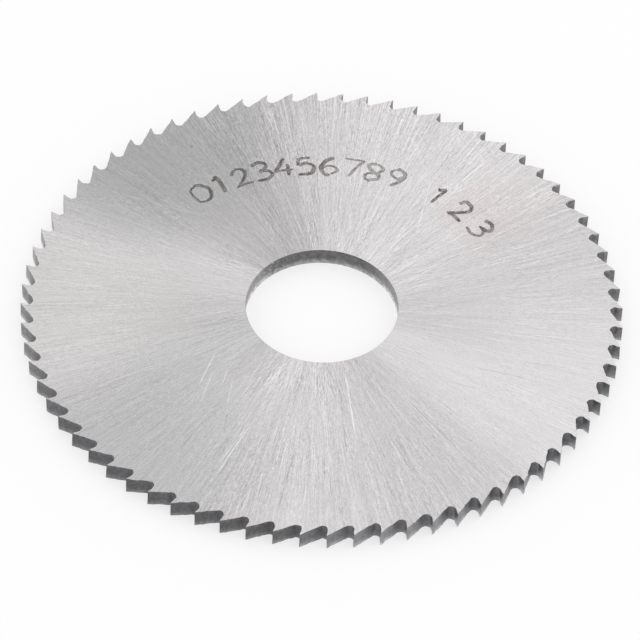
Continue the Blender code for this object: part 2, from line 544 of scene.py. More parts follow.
def ground_steel_group(polar, grain):
    """Colour, roughness and height of the ground faces.

    Crossed families of fine lines lie over broad fans of painted sheen, darker or lighter
    where the lamps' gloss would fall. A few long scratches run through them. One side is
    faintly yellow, and a brown bloom lies beside the short number.
    """
    tree, build, given, result = new_group(
        "ground_steel",
        (("Place", "NodeSocketVector"), ("Steel", "NodeSocketColor"),
         ("Plain Steel", "NodeSocketColor"), ("Oil Film", "NodeSocketColor"),
         ("Stain", "NodeSocketColor")),
        (("Colour", "NodeSocketColor"), ("Roughness", "NodeSocketFloat"),
         ("Height", "NodeSocketFloat")))
    place = given.outputs["Place"]
    about = build.group(polar, place=place)
    radius = about.outputs["Radius"]
    rim_share = build.remap(radius, *TONE_REACH)

    def family(offset, hub_density, rim_density, breaks, seed):
        """Returns one family of grinding lines."""
        return build.group(grain, place=place, offset=offset, hub_density=hub_density,
                           rim_density=rim_density, breaks=breaks, seed=seed).outputs["Lines"]

    lines = 0.0
    for *form, hub_weight, rim_weight in LINE_FAMILIES:
        layer = family(*form)
        weight = build.times_plus(rim_share, rim_weight - hub_weight, hub_weight)
        lines = build.times_plus(layer, weight, lines)
    lines = build.times(lines, build.remap(family(*PATCHES), -0.13, 0.13, *PATCH_GAIN))

    def add_fans(value, fans):
        """Returns a value with some fans added to it, each by its share at hub and rim."""
        for direction, half_width, at_hub, at_rim in fans:
            strength = build.times_plus(rim_share, at_rim - at_hub, at_hub)
            depth = fan(build, about, direction, half_width)
            value = build.times_plus(depth, strength, value)
        return value

    # The grain's contrast is painted stronger or fainter round the bore, as the lamps would catch
    # it; its relief and roughness follow
    busy = add_fans(QUIET_GRAIN, GRAIN_SHEEN_FANS)
    lines = build.times(lines, busy)
    specks = build.minus(build.noise(place, SPECK_SCALE, detail=1.0), 0.5)
    specks = build.times(specks, build.times_plus(busy, GRAIN_SPECKS, EVEN_SPECKS))
    tone = build.times_plus(lines, LINE_STRENGTH, build.maths("ADD", specks, 1.0))
    for start, end, half_width, strength in SCRATCHES:
        mark = scratch(build, place, polar_place(*start), polar_place(*end), half_width)
        tone = build.times_plus(mark, strength, tone)
    # Painted sheen: these fans darken or lighten the face where the lamps' gloss would fall
    tone = add_fans(tone, PAINTED_SHEEN_FANS)
    # The darker fans of painted sheen are painted plain grey, without the steel's warm tint
    plain = build.maths("MAXIMUM", build.maths("MINIMUM", add_fans(0.0, SHADE_GREY_FANS), 1.0), 0.0)
    oily = build.times(fan(build, about, *OIL_FAN), build.remap(radius, *OIL_REACH))
    steel = build.mix(plain, given.outputs["Steel"], given.outputs["Plain Steel"])
    steel = build.mix(oily, steel, given.outputs["Oil Film"])
    colour = build.brighten(steel, tone)

    stain = build.remap(family(*STAIN_STREAKS), -0.20, 0.16, *STAIN_STRENGTH)
    for share in (fan(build, about, *STAIN_FAN), build.remap(radius, *STAIN_START),
                  build.remap(radius, *STAIN_END, 1.0, STAIN_LEFT)):
        stain = build.times(stain, share)
    colour = build.mix(stain, colour, given.outputs["Stain"])

    build.feed(result.inputs["Colour"], colour)
    build.feed(result.inputs["Roughness"], build.remap(lines, -0.2, 0.2, *FACE_ROUGHNESS))
    build.feed(result.inputs["Height"], lines)
    return tree


# How far the grain stretches the gloss. Then the relief of each finish: its strength and
# its depth in metres
GRAIN_STRETCH = 0.75
GRAIN_RELIEF = (0.3, 0.000004)
TOOTH_RELIEF = (0.25, 0.000006)
BORE_RELIEF = (0.5, 0.00001)


def set_ground_metal(build, shader, height):
    """Gives a shader the metal, the grain's stretched gloss and the grain's relief."""
    shader.inputs["Metallic"].default_value = 1.0
    shader.inputs["Anisotropic"].default_value = GRAIN_STRETCH
    tangent = build.add("ShaderNodeTangent", direction_type="RADIAL", axis="Z")
    build.feed(shader.inputs["Tangent"], tangent.outputs[0])
    build.relief(shader, height, *GRAIN_RELIEF)


def ground_steel_at(build, ground_steel, place, colours):
    """Returns the ground steel's group node with its colours set."""
    return build.group(ground_steel, place=place, steel=(*colours.ground_face, 1.0),
                       plain_steel=(*colours.plain_face, 1.0),
                       oil_film=(*colours.oil_film, 1.0), stain=(*colours.stain, 1.0))


def ground_face_material(colours, ground_steel):
    """Ground steel of both faces."""
    material, build, shader, place = new_material("ground_face")
    steel = ground_steel_at(build, ground_steel, place, colours)
    build.feed(shader.inputs["Base Color"], steel.outputs["Colour"])
    build.feed(shader.inputs["Roughness"], steel.outputs["Roughness"])
    set_ground_metal(build, shader, steel.outputs["Height"])
    return material


# The etched line: changes to the metre and strength of its ragged edges, changes to the
# metre of the worn places along its middle, and how much paler it is in them
RAGGED_SCALE, RAGGEDNESS = 7000.0, 1.2
WORN_SCALE, WORN_LOSS = 1500.0, 0.50

# Digits that are rubbed pale: direction and half width of their fan, and how much paler
RUBBED_FAN, RUBBED_LOSS = (78.0, 20.0), 0.2


def etched_material(colours, ground_steel, polar):
    """The dark line that an etching pencil leaves, ragged and paler towards its edges."""
    material, build, shader, place = new_material("etched_line")
    steel = ground_steel_at(build, ground_steel, place, colours)
    uv = build.add("ShaderNodeUVMap", uv_map=STROKE_UV).outputs["UV"]
    _, across, _ = build.split(uv)
    from_middle = build.maths("ABSOLUTE", build.times_plus(across, 2.0, -1.0))
    ragged = build.noise(place, RAGGED_SCALE, detail=3.0)
    reach = build.times_plus(build.minus(ragged, 0.5), RAGGEDNESS, from_middle)
    dark = build.remap(reach, 0.30, 0.92, 1.0, 0.0)
    worn = build.remap(build.noise(place, WORN_SCALE), 0.40, 0.56)
    core = build.times(build.remap(reach, 0.05, 0.45, 1.0, 0.0), worn)
    dark = build.times(dark, build.times_plus(core, -WORN_LOSS, 1.0))

    # The last digits of the long number are rubbed paler than the rest
    rubbed = fan(build, build.group(polar, place=place), *RUBBED_FAN)
    dark = build.times(dark, build.times_plus(rubbed, -RUBBED_LOSS, 1.0))
    colour = build.mix(dark, steel.outputs["Colour"], (*colours.etched_line, 1.0))
    build.feed(shader.inputs["Base Color"], colour)
    roughness = build.times_plus(dark, 0.2, steel.outputs["Roughness"])
    build.feed(shader.inputs["Roughness"], roughness)
    set_ground_metal(build, shader, steel.outputs["Height"])
    return material


# Painted light and shade of a wall: a fan's direction and half width in degrees, and how
# much lighter it is painted
TOOTH_LIGHT_FANS = ((158.0, 24.0, 0.6), (170.0, 40.0, 0.45), (240.0, 42.0, -0.40), (302.0, 38.0, 0.60))
GULLET_LIGHT_FANS = ((232.0, 40.0, 0.9), (312.0, 34.0, -0.22))
BORE_LIGHT_FANS = ((10.0, 48.0, 0.8), (95.0, 45.0, -0.14), (168.0, 34.0, 0.8))

# Changes to the metre of the patterns on the walls: the mottle and the painted burr glints
# of the teeth, their streaks round the rim and down the wall, and the mottle and the pits of the
# bore
TOOTH_MOTTLE, BURR_GLINTS = 2600.0, 2900.0
STREAKS_ROUND, STREAKS_DOWN = 9000.0, 700.0
BORE_MOTTLE, PITS = 2200.0, 3600.0

# Fans where the painted burr glints and the pits are thickest: direction and half width in degrees
BURR_GLINT_FAN = (28.0, 62.0)
PIT_FAN = (148.0, 28.0)

# Least and greatest roughness of the walls
TOOTH_ROUGHNESS = (0.36, 0.50)
BORE_ROUGHNESS = (0.38, 0.55)


def fan_tone(build, about, fans, even_tone):
    """Returns a tone with some fans added to it."""
    tone = even_tone
    for direction, half_width, strength in fans:
        tone = build.times_plus(fan(build, about, direction, half_width), strength, tone)
    return tone


def wall_tone(build, about, height, fans, even_tone, foot_light_gain):
    """Returns a wall's painted light and shade: round the bore, and lighter down to its foot."""
    tone = fan_tone(build, about, fans, even_tone)
    depth = build.maths("MAXIMUM", build.times_plus(height, -2.0, 1.0), 0.0)
    foot = build.times_plus(build.times(depth, depth), foot_light_gain, 1.0)
    return build.times(tone, foot)


def milled_tooth_material(sizes, colours, polar):
    """Dark milled steel, darkest in the gullets, with painted shading; painted light and warm along
    the foot.
    """
    material, build, shader, place = new_material("milled_teeth")
    about = build.group(polar, place=place)
    x, y, z = build.split(place)
    radius = sizes.outer_diameter / 2
    root = gullet_bottom_radius(sizes)
    up_the_tooth = build.remap(about.outputs["Radius"], root, root + (radius - root) * 0.7)
    # Painted light and shade of the gullets, by their place round the bore
    gullet = build.brighten(tuple(colours.gullet), fan_tone(build, about, GULLET_LIGHT_FANS, 1.0))
    colour = build.mix(up_the_tooth, gullet, (*colours.milled_tooth, 1.0))

    mottle = build.noise(place, TOOTH_MOTTLE, detail=4.0, roughness=0.6)
    stretched = build.join(build.times(x, STREAKS_ROUND), build.times(y, STREAKS_ROUND),
                           build.times(z, STREAKS_DOWN))
    streaks = build.noise(stretched, 1.0)
    height = build.maths("DIVIDE", z, sizes.thickness)
    # Painted light and shade round the bore, and painted light down to the foot as if the floor
    # shone in it
    tone = wall_tone(build, about, height, TOOTH_LIGHT_FANS, even_tone=1.15, foot_light_gain=1.3)
    tone = build.times(tone, build.spread(mottle, 0.75, 1.25))
    tone = build.times(tone, build.spread(streaks, 0.94, 1.06))

    # A cutting face looks clockwise round the bore, and is painted brighter than the back near
    # its top, as if the light fell on it
    facing = build.add("ShaderNodeTexCoord").outputs["Normal"]
    facing_x, facing_y, _ = build.split(facing)
    clockwise = build.minus(build.times(facing_x, about.outputs["North"]),
                            build.times(facing_y, about.outputs["East"]))
    top_light_gain = build.times_plus(height, 0.4, 1.0)
    tone = build.times(tone, build.remap(clockwise, 0.2, 0.9, 1.0, top_light_gain))
    colour = build.brighten(colour, tone)
    foot = build.remap(build.times_plus(mottle, 0.12, height), 0.06, 0.14, 0.5, 0.0)
    colour = build.mix(foot, colour, (*colours.warm_edge, 1.0))

    # Painted glints: small burrs along the upper edge are painted in light steel as if they
    # caught the light, most of all at the blade's right
    nicks = build.remap(build.noise(place, BURR_GLINTS), 0.54, 0.62)
    burred = build.times_plus(fan(build, about, *BURR_GLINT_FAN), 0.8, 0.15)
    burr_glint = build.times(build.times(nicks, burred), build.remap(height, 0.76, 0.96))
    colour = build.mix(burr_glint, colour, (*colours.ground_face, 1.0))
    build.feed(shader.inputs["Base Color"], colour)
    build.feed(shader.inputs["Metallic"], build.remap(up_the_tooth, 0.0, 1.0, 0.12, 1.0))
    build.feed(shader.inputs["Roughness"], build.spread(mottle, *TOOTH_ROUGHNESS))
    build.relief(shader, streaks, *TOOTH_RELIEF)
    return material


def bore_wall_material(sizes, colours, polar):
    """Dark, pitted steel inside the bore, with painted shading, painted lighter along its lower
    edge.
    """
    material, build, shader, place = new_material("bore_wall")
    about = build.group(polar, place=place)
    _, _, z = build.split(place)
    height = build.maths("DIVIDE", z, sizes.thickness)
    mottle = build.noise(place, BORE_MOTTLE, detail=5.0, roughness=0.7)
    # Painted light and shade round the bore, and painted light down to the lower edge
    tone = wall_tone(build, about, height, BORE_LIGHT_FANS, even_tone=1.0, foot_light_gain=2.8)
    tone = build.times(tone, build.spread(mottle, 0.62, 1.38))
    colour = build.brighten(tuple(colours.bore_wall), tone)

    thick = build.times_plus(fan(build, about, *PIT_FAN), 0.75, 0.10)
    pitted = build.times(thick, build.remap(build.noise(place, PITS, detail=3.0), 0.54, 0.66))
    colour = build.mix(pitted, colour, (*colours.bore_pits, 1.0))
    foot = build.remap(build.times_plus(mottle, 0.20, height), 0.10, 0.26, 0.6, 0.0)
    colour = build.mix(foot, colour, (*colours.warm_edge, 1.0))
    build.feed(shader.inputs["Base Color"], colour)
    shader.inputs["Metallic"].default_value = 1.0
    build.feed(shader.inputs["Roughness"], build.spread(mottle, *BORE_ROUGHNESS))
    build.relief(shader, mottle, *BORE_RELIEF)
    return material


# The toothed body

# Faces round one tooth: steps of its gullet's fillet, of its cutting face, of its back, of
# its share of each ring, and of the hollow from the rim band to the seat
GULLET_STEPS = 14
CUTTING_FACE_STEPS = 4
BACK_STEPS = 8
RING_STEPS = 4
HOLLOW_STEPS = 8


def fillet_centre(sizes):
    """Returns the centre of the gullet's fillet in the tooth's own frame.

    The tooth's tip is the origin, x runs along the rim towards the tooth's back, and y
    runs outwards. The gullet is the one in front of the tooth, at negative x.
    """
    radius = sizes.outer_diameter / 2
    pitch = 2 * math.pi / sizes.tooth_count
    tip_before = Vector((-radius * math.sin(pitch), radius * (math.cos(pitch) - 1)))
    slope = sizes.back_angle - pitch
    face_normal = Vector((-math.cos(sizes.rake_angle), -math.sin(sizes.rake_angle)))
    back_normal = Vector((math.sin(slope), math.cos(slope)))
    clear = Vector((sizes.gullet_radius, sizes.gullet_radius + back_normal.dot(tip_before)))
    return Matrix((face_normal, back_normal)).inverted() @ clear


def gullet_bottom_radius(sizes):
    """Returns the radius at the bottom of the gullets."""
    centre = fillet_centre(sizes)
    return Vector((centre.x, centre.y + sizes.outer_diameter / 2)).length - sizes.gullet_radius


def tooth_run(sizes, inset):
    """Returns the rim over one pitch, from the bottom of one gullet to the bottom of the next.

    The points are in the blade's plane, counter-clockwise, with the tooth's tip on +X. An
    inset draws the outline in, which widens the fillets. The tip's place in the list comes
    back too.
    """
    radius = sizes.outer_diameter / 2
    pitch = 2 * math.pi / sizes.tooth_count
    rake, back = sizes.rake_angle, sizes.back_angle
    centre = fillet_centre(sizes)
    fillet = sizes.gullet_radius + inset
    bottom = math.atan2(-(centre.y + radius), -centre.x)
    back_end = math.atan2(-math.cos(back - pitch), -math.sin(back - pitch))
    face_end = math.atan2(math.sin(rake), math.cos(rake))

    def arc(start, end, steps):
        """Points along the fillet in the tooth's own frame, the first one left out."""
        angles = [start + (end - start) * step / steps for step in range(1, steps + 1)]
        return [centre + fillet * Vector((math.cos(angle), math.sin(angle))) for angle in angles]

    def to_blade(point, turn):
        """A point of the tooth's own frame, in the blade's plane, some teeth further on."""
        return Matrix.Rotation(turn, 2) @ Vector((radius + point.y, point.x))

    share = (face_end - bottom) / (face_end - back_end)
    rising_steps = max(2, round(GULLET_STEPS * share))
    falling_steps = max(2, GULLET_STEPS - rising_steps)
    lowest = centre + fillet * Vector((math.cos(bottom), math.sin(bottom)))
    rising = [lowest] + arc(bottom, face_end, rising_steps)
    corner = Matrix(((-math.cos(rake), -math.sin(rake)), (math.sin(back), math.cos(back))))
    tip = corner.inverted() @ Vector((-inset, -inset))
    falling = [centre + fillet * Vector((math.cos(back_end), math.sin(back_end)))]
    falling += arc(back_end, bottom, falling_steps)

    def straight(start, end, steps):
        """Points between two ends, both left out."""
        return [start.lerp(end, step / steps) for step in range(1, steps)]

    up = [to_blade(point, 0.0) for point in rising]
    down = [to_blade(point, pitch) for point in falling]
    tip = to_blade(tip, 0.0)
    up += straight(up[-1], tip, CUTTING_FACE_STEPS)
    return up + [tip] + straight(tip, down[0], BACK_STEPS) + down, len(up)


def hollow_at(sizes, radius):
    """Returns how deep the hollow-ground side lies below the seat at a radius."""
    rim = gullet_bottom_radius(sizes) - sizes.rim_band_width
    seat = sizes.bore_diameter / 2 + sizes.seat_width
    share = min(max((radius - seat) / (rim - seat), 0.0), 1.0)
    return 4 * sizes.hollow_depth * share * (1 - share)


def tooth_sector_mesh(sizes):
    """Returns one tooth's share of the blade as a mesh, open on its two radial sides.

    It is mirrored about the middle plane, and each face carries the slot of its finish.
    """
    thickness, edge = sizes.thickness, sizes.edge_break
    bore = sizes.bore_diameter / 2
    seat = bore + sizes.seat_width
    rim = gullet_bottom_radius(sizes) - sizes.rim_band_width
    pitch = 2 * math.pi / sizes.tooth_count
    wall_run, tip_index = tooth_run(sizes, 0.0)
    face_run, _ = tooth_run(sizes, edge)
    start = math.atan2(face_run[0].y, face_run[0].x)

    rings = [(rim + (seat - rim) * step / HOLLOW_STEPS, 0.0) for step in range(HOLLOW_STEPS + 1)]
    rings = [(radius, hollow_at(sizes, radius)) for radius, _ in rings]
    rings += [(bore + edge, 0.0), (bore, edge)]

    cage = bmesh.new()
    finish = cage.faces.layers.int.new(FINISH)
    tip_mark = cage.verts.layers.float.new(TIP)
    rim_mark = cage.verts.layers.float.new(RIM)

    def row(points, height):
        return [cage.verts.new((point.x, point.y, height)) for point in points]

    def ring(radius, height):
        angles = [start + pitch * step / RING_STEPS for step in range(RING_STEPS + 1)]
        return row([Vector((radius * math.cos(a), radius * math.sin(a))) for a in angles], height)

    def skin(outer, inner, slot):
        """Fills the strip between two rows."""
        for index in range(len(outer) - 1):
            corners = (outer[index], outer[index + 1], inner[index + 1], inner[index])
            cage.faces.new(corners)[finish] = slot

    wall_rows, bore_rows = [], []
    for side in (1, -1):
        def level(depth, side=side):
            """Height of a place this deep below the side's own face."""
            return thickness - depth if side > 0 else depth

        wall = row(wall_run, level(edge))
        face = row(face_run, level(0.0))
        for rim_vertex in wall + face:
            rim_vertex[rim_mark] = 1.0
        for tip_vertex in (wall[tip_index], face[tip_index]):
            tip_vertex[tip_mark] = 1.0
        skin(wall, face, FACE_SLOT)
        ring_rows = [ring(radius, level(depth)) for radius, depth in rings]
        cage.faces.new(face + list(reversed(ring_rows[0])))[finish] = FACE_SLOT
        for outer, inner in zip(ring_rows, ring_rows[1:]):
            skin(outer, inner, FACE_SLOT)
        wall_rows.append(wall)
        bore_rows.append(ring_rows[-1])
    skin(wall_rows[0], wall_rows[1], TOOTH_SLOT)
    skin(bore_rows[0], bore_rows[1], BORE_SLOT)

    mesh = bpy.data.meshes.new("tooth_sector")
    cage.to_mesh(mesh)
    cage.free()
    return mesh


# How many times to the metre the stray of the milled edges changes
STRAY_SCALE = 1900.0


def teeth_tree():
    """Returns the tree that sets one tooth's sector round the bore and welds the copies."""
    tree = bpy.data.node_groups.new("teeth_round_the_rim", "GeometryNodeTree")
    tree.is_modifier = True
    sockets = (
        ("Sector", "NodeSocketGeometry"), ("Teeth", "NodeSocketInt"),
        ("Weld Distance", "NodeSocketFloat"), ("Tip Wear", "NodeSocketFloat"),
        ("Rim Wander", "NodeSocketFloat"), ("Seed", "NodeSocketInt"),
        ("Face Steel", "NodeSocketMaterial"),
        ("Tooth Steel", "NodeSocketMaterial"), ("Bore Steel", "NodeSocketMaterial"),
    )
    for name, kind in sockets:
        tree.interface.new_socket(name, in_out="INPUT", socket_type=kind)
    tree.interface.new_socket("Blade", in_out="OUTPUT", socket_type="NodeSocketGeometry")
    build = NodeBuilder(tree)
    given = build.add("NodeGroupInput").outputs
    result = build.add("NodeGroupOutput")

    def marked(name, kind="FLOAT"):
        """Returns a mark that the sector's mesh carries under this name."""
        mark = build.step("GeometryNodeInputNamedAttribute", {"Name": name}, data_type=kind)
        return mark.node.outputs["Attribute"]

    points = build.step("GeometryNodePoints", {"Count": given["Teeth"]})
    pitch = build.maths("DIVIDE", 2 * math.pi, given["Teeth"])
    turn = build.times(build.step("GeometryNodeInputIndex", {}), pitch)
    rotation = build.step("FunctionNodeEulerToRotation", {0: build.join(0.0, 0.0, turn)})
    copies = build.step("GeometryNodeInstanceOnPoints", {
        "Points": points, "Instance": given["Sector"], "Rotation": rotation})
    whole = build.step("GeometryNodeRealizeInstances", {"Geometry": copies})
    welded = build.step("GeometryNodeMergeByDistance", {
        "Geometry": whole, "Distance": given["Weld Distance"]})

    # Each tip draws in towards the bore by its own share of the wear
    amount = build.step("FunctionNodeRandomValue", {"Seed": given["Seed"]}, data_type="FLOAT").node
    random_share = next(socket for socket in amount.outputs if socket.enabled)
    wear = build.times(build.times(random_share, given["Tip Wear"]), marked(TIP))
    place = build.step("GeometryNodeInputPosition", {})
    x, y, _ = build.split(place)
    outwards = build.step("ShaderNodeVectorMath", {0: build.join(x, y, 0.0)}, operation="NORMALIZE")
    shift = build.brighten(outwards, build.times(wear, -1.0))
    worn = build.step("GeometryNodeSetPosition", {"Geometry": welded, "Offset": shift})

    # The milled edges stray a little within the blade's plane
    stray = build.noise(place, STRAY_SCALE, output="Color")
    centred = build.step("ShaderNodeVectorMath", {0: stray, 1: (0.5, 0.5, 0.5)},
                         operation="SUBTRACT")
    stray_x, stray_y, _ = build.split(centred)
    reach = build.times(marked(RIM), given["Rim Wander"])
    shift = build.brighten(build.join(stray_x, stray_y, 0.0), reach)
    geometry = build.step("GeometryNodeSetPosition", {"Geometry": worn, "Offset": shift})

    slot = marked(FINISH, "INT")
    steels = (("Face Steel", FACE_SLOT), ("Tooth Steel", TOOTH_SLOT), ("Bore Steel", BORE_SLOT))
    for name, index in steels:
        same = build.add("FunctionNodeCompare", data_type="INT", operation="EQUAL")
        numbers = [socket for socket in same.inputs if socket.enabled]
        build.feed(numbers[0], slot)
        build.feed(numbers[1], index)
        geometry = build.step("GeometryNodeSetMaterial", {
            "Geometry": geometry, "Selection": same.outputs[0], "Material": given[name]})
    build.feed(result.inputs[0], geometry)
    return tree


def add_object(collection, name, data):
    """Returns a new object that holds the data, linked into the collection."""
    obj = bpy.data.objects.new(name, data)
    collection.objects.link(obj)
    return obj


def set_tree_inputs(modifier, values):
    """Sets a modifier's inputs by the names that its tree gives them."""
    for item in modifier.node_group.interface.items_tree:
        if item.item_type == "SOCKET" and item.in_out == "INPUT" and item.name in values:
            modifier[item.identifier] = values[item.name]


def plain_mesh(obj, name):
    """Returns an object's evaluated mesh as a mesh of its own."""
    bpy.context.view_layer.update()
    evaluated = obj.evaluated_get(bpy.context.evaluated_depsgraph_get())
    mesh = bpy.data.meshes.new_from_object(evaluated)
    mesh.name = name
    return mesh


def close_and_face_out(mesh):
    """Turns every face of a mesh outwards, and stops the script where it isn't closed."""
    cage = bmesh.new()
    cage.from_mesh(mesh)
    bmesh.ops.recalc_face_normals(cage, faces=cage.faces)
    open_edges = [edge for edge in cage.edges if not edge.is_manifold]
    volume = cage.calc_volume(signed=True)
    cage.to_mesh(mesh)
    cage.free()
    if open_edges or volume <= 0:
        raise RuntimeError(f"{mesh.name}: {len(open_edges)} open edges, volume {volume}")


def mark_sharp_edges(mesh):
    """Shades a mesh smooth, with its corners and the borders between finishes sharp."""
    mesh.shade_smooth()
    mesh.set_sharp_from_angle(angle=SHARP_ANGLE)
    cage = bmesh.new()
    cage.from_mesh(mesh)
    for edge in cage.edges:
        if len({face.material_index for face in edge.link_faces}) > 1:
            edge.smooth = False
    cage.to_mesh(mesh)
    cage.free()


class SAW_OT_toothed_body(Operator):
    """Build the blade's body from one tooth's sector"""

    bl_idname = "saw.toothed_body"
    bl_label = "Toothed Body"

    def execute(self, context):
        sizes, colours = context.scene.saw_sizes, context.scene.saw_colours
        polar = polar_group()
        ground_steel = ground_steel_group(polar, lines_group(polar))
        face_steel = ground_face_material(colours, ground_steel)
        tooth_steel = milled_tooth_material(sizes, colours, polar)
        bore_steel = bore_wall_material(sizes, colours, polar)

        sector = add_object(context.collection, "tooth_sector", tooth_sector_mesh(sizes))
        modifier = sector.modifiers.new("Teeth", "NODES")
        modifier.node_group = teeth_tree()
        set_tree_inputs(modifier, {
            "Teeth": sizes.tooth_count, "Weld Distance": WELD_DISTANCE, "Tip Wear": sizes.tip_wear,
            "Rim Wander": sizes.rim_wander, "Seed": sizes.seed, "Face Steel": face_steel,
            "Tooth Steel": tooth_steel, "Bore Steel": bore_steel})
        mesh = plain_mesh(sector, BODY_NAME)
        bpy.data.objects.remove(sector, do_unlink=True)

        slots = [0] * len(mesh.polygons)
        mesh.attributes[FINISH].data.foreach_get("value", slots)
        mesh.materials.clear()
        etched = etched_material(colours, ground_steel, polar)
        for steel in (face_steel, tooth_steel, bore_steel, etched):
            mesh.materials.append(steel)
        mesh.polygons.foreach_set("material_index", slots)
        for name in (FINISH, TIP, RIM):
            mesh.attributes.remove(mesh.attributes[name])
        mesh.uv_layers.new(name=STROKE_UV)
        close_and_face_out(mesh)
        mark_sharp_edges(mesh)
        add_object(context.collection, BODY_NAME, mesh)
        return {"FINISHED"}


# The etched numbers

# Strokes of each digit as a hand writes them, from 0 to 1 across and from 0 to 1 up
DIGIT_STROKES = {
    "0": (((0.56, 1), (0.2, 0.9), (0.03, 0.55), (0.14, 0.15), (0.46, 0)),
          ((0.5, 1), (0.84, 0.86), (0.98, 0.5), (0.82, 0.12), (0.42, 0))),
    "1": (((0.28, 0.76), (0.42, 0.86), (0.56, 1)),
          ((0.56, 1), (0.53, 0.5), (0.5, 0))),
    "2": (((0.08, 0.72), (0.3, 0.97), (0.7, 0.95), (0.84, 0.68), (0.52, 0.33), (0.05, 0.02)),
          ((0.05, 0.02), (0.5, 0.05), (0.95, 0.03))),
    "3": (((0.1, 0.9), (0.5, 1), (0.85, 0.8), (0.7, 0.58), (0.4, 0.52)),
          ((0.4, 0.52), (0.8, 0.45), (0.94, 0.22), (0.6, 0), (0.08, 0.08))),
    "4": (((0.6, 1), (0.3, 0.65), (0.03, 0.32)),
          ((0.03, 0.32), (0.5, 0.3), (0.98, 0.33)),
          ((0.68, 0.64), (0.66, 0.3), (0.65, 0))),
    "5": (((0.85, 0.98), (0.5, 1), (0.2, 0.97)),
          ((0.2, 0.97), (0.17, 0.75), (0.13, 0.55)),
          ((0.13, 0.55), (0.55, 0.65), (0.92, 0.4), (0.7, 0.05), (0.08, 0.05))),
    "6": (((0.7, 1), (0.3, 0.75), (0.08, 0.35), (0.3, 0.03), (0.6, 0.02)),
          ((0.6, 0.02), (0.92, 0.25), (0.7, 0.52), (0.35, 0.5), (0.1, 0.3))),
    "7": (((0.05, 0.95), (0.5, 1), (0.95, 0.97)),
          ((0.95, 0.97), (0.6, 0.5), (0.4, 0))),
    "8": (((0.5, 1), (0.18, 0.82), (0.36, 0.56), (0.8, 0.34), (0.82, 0.12), (0.5, 0)),
          ((0.5, 0), (0.16, 0.12), (0.2, 0.36), (0.66, 0.56), (0.84, 0.82), (0.5, 1))),
    "9": (((0.9, 0.75), (0.6, 0.5), (0.2, 0.6), (0.15, 0.85), (0.5, 1)),
          ((0.5, 1), (0.85, 0.9), (0.92, 0.6), (0.75, 0.25), (0.45, 0))),
}
STROKE_STEPS = 5

# The hand's freedom: most lean of a digit, its most turn in radians, shift of a stroke as
# a share of the hand's wander, least and most width of a stroke, how much deeper each stroke
# is than the one before, and the width left at a stroke's ends
MOST_LEAN, MOST_TURN = 0.06, 0.006
STROKE_SHIFT = 1.4
LEAST_WIDTH, MOST_WIDTH = 0.75, 1.2
DEEPER_EACH = 0.12
END_WIDTH = 0.55


def smooth_path(points, steps):
    """Returns a smooth curve through the points, with some steps between each two."""
    ends = [2 * points[0] - points[1]] + points + [2 * points[-1] - points[-2]]
    path = []
    for before, start, end, after in zip(ends, ends[1:], ends[2:], ends[3:]):
        for step in range(steps):
            share = step / steps
            pull = (end - before) * share
            bend = (2 * before - 5 * start + 4 * end - after) * share ** 2
            twist = (3 * start - before - 3 * end + after) * share ** 3
            path.append(start + (pull + bend + twist) / 2)
    return path + [points[-1]]


def digit_paths(numbers, digit, direction, hand):
    """Returns a digit's strokes in the blade's plane, its top outwards, as a hand leaves them."""
    outward = Vector((math.cos(direction), math.sin(direction)))
    clockwise = Vector((outward.y, -outward.x))
    lean = hand.uniform(-MOST_LEAN, MOST_LEAN)
    paths = []
    for stroke in DIGIT_STROKES[digit]:
        points = []
        for across, up in stroke:
            x = (across - 0.5) * numbers.digit_width + hand.gauss(0.0, numbers.hand_wander)
            y = (up - 0.5) * numbers.digit_height + hand.gauss(0.0, numbers.hand_wander)
            x, y = x + lean * y, y - lean * x
            points.append(outward * (numbers.circle_radius + y) + clockwise * x)
        paths.append(smooth_path(points, STROKE_STEPS))
    return paths


def add_stroke_cutter(cage, uv_layer, sizes, path, width, depth):
    """Adds a closed cutter for one stroke, with a flat floor and sloping sides.

    The map's second coordinate runs across the stroke, from 0 to 1 between the lines where
    its sides meet the face.
    """
    half_width = width / 2
    # Share of the half width, and height above the floor in depths
    section = ((-1.5, 2.0), (-0.5, 0.0), (0.5, 0.0), (1.5, 2.0))
    last = len(path) - 1
    loops = []
    for index, point in enumerate(path):
        along = (path[min(index + 1, last)] - path[max(index - 1, 0)]).normalized()
        aside = Vector((-along.y, along.x))
        taper = END_WIDTH if index in (0, last) else 1.0
        floor = sizes.thickness - hollow_at(sizes, point.length) - depth
        loop = []
        for share, rise in section:
            place = point + aside * (share * half_width * taper)
            loop.append(cage.verts.new((place.x, place.y, floor + rise * depth)))
        loops.append(loop)

    def paint(face, places):
        """Maps each corner of a face by its stroke step and its place in the section."""
        face.material_index = ETCH_SLOT
        for corner, (step, part) in zip(face.loops, places):
            corner[uv_layer].uv = (step / last, (section[part][0] + 1) / 2)

    parts = len(section)
    for step in range(last):
        for part in range(parts):
            following = (part + 1) % parts
            places = ((step, part), (step, following), (step + 1, following), (step + 1, part))
            paint(cage.faces.new([loops[i][j] for i, j in places]), places)
    for step, order in ((0, range(parts - 1, -1, -1)), (last, range(parts))):
        places = [(step, part) for part in order]
        paint(cage.faces.new([loops[step][part] for part in order]), places)


